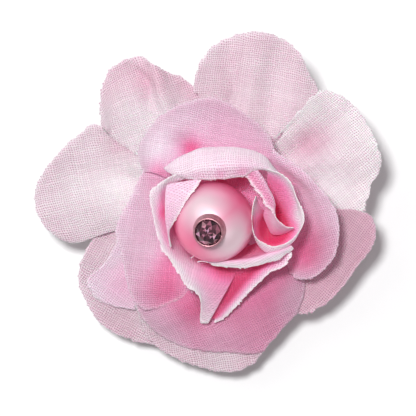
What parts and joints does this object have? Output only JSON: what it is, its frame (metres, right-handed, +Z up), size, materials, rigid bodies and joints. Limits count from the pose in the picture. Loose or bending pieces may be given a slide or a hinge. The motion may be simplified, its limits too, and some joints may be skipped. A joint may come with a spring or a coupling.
{
  "type": "flower hair clip",
  "caption": "Woven fabric rose with rings of pale and deeper pink petals round a pearl and faceted stone, glued on felt to a sprung metal alligator clip.",
  "frame": {"origin": "centre of the bounding box's base, on the surface that the clip stands on", "axes": "+Z up out of the flower's face, +Y along the clip towards its handles, +X along the hinge pin"},
  "size_m": [0.0528, 0.0524, 0.0266],
  "materials": {
    "outer_cloth": "sheer plain weave, pale pink",
    "middle_cloth": "sheer plain weave, pink",
    "inner_cloth": "sheer plain weave, deep pink with pale rolled edges",
    "pearl": "pearlescent",
    "stone": "foil-backed facets",
    "cup_metal": "plated, polished",
    "clip_steel": "nickel plated",
    "spring_steel": "drawn wire",
    "felt": "pressed felt",
    "glue": "clear hot-melt"
  },
  "bodies": {
    "flower_half": {"top_arm": "clip_steel", "hinge_pin": "clip_steel", "torsion_spring": "spring_steel", "clip_glue": "glue", "felt_pad": "felt", "glue_core": "glue", "outer_petal_1": "outer_cloth", "outer_petal_2": "outer_cloth", "outer_petal_3": "outer_cloth", "outer_petal_4": "outer_cloth", "outer_petal_5": "outer_cloth", "outer_petal_6": "outer_cloth", "outer_petal_7": "outer_cloth", "middle_petal_1": "middle_cloth", "middle_petal_2": "middle_cloth", "middle_petal_3": "middle_cloth", "middle_petal_4": "middle_cloth", "middle_petal_5": "middle_cloth", "inner_petal_1": "inner_cloth", "inner_petal_2": "inner_cloth", "inner_petal_3": "inner_cloth", "inner_petal_4": "inner_cloth", "inner_petal_5": "inner_cloth", "inner_petal_6": "inner_cloth", "pearl": "pearl", "stone_cup": "cup_metal", "rhinestone": "stone"},
    "lower_jaw": {"lower_arm": "clip_steel"}
  },
  "joints": [
    {"name": "jaw_hinge", "type": "hinge", "parent": "flower_half", "child": "lower_jaw", "pos_m": [0.00175, 0.0053, 0.00398], "axis": [1, 0, 0], "range_deg": [0, 28], "stiffness_Nm_per_rad": 0.08, "springref_deg": -42.97, "deforming": ["torsion_spring"]}
  ]
}
